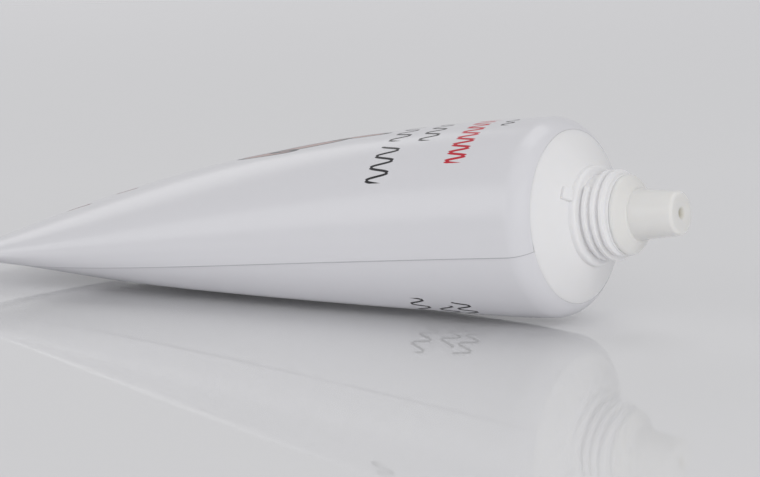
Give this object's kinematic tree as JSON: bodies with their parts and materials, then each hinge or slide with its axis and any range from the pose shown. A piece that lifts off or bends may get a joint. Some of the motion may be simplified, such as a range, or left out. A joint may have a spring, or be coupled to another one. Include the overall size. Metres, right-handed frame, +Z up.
{
  "type": "cosmetic squeeze tube",
  "caption": "Slim laminate squeeze tube lying on its belly, with a round end, threaded neck and tapered nozzle at the front and a flat welded tail, lapped along one side.",
  "frame": {"origin": "centre of the bounding box's base, on the floor that the tube lies on", "axes": "+X from the tail towards the nozzle, +Y away from the side that has the seam, +Z up; the tube's own axis rises by 5.6 degrees towards the nozzle"},
  "size_m": [0.1378, 0.0502, 0.032],
  "materials": {
    "laminate": "white glossy laminate",
    "shoulder_plastic": "satin white moulded polyethylene",
    "nozzle_plastic": "satin, slightly translucent off-white polyethylene",
    "cream": "soft white cream"
  },
  "bodies": {
    "root": {"tube_sleeve": "laminate", "shoulder": "shoulder_plastic", "nozzle_insert": "nozzle_plastic", "cream": "cream"}
  },
  "joints": []
}
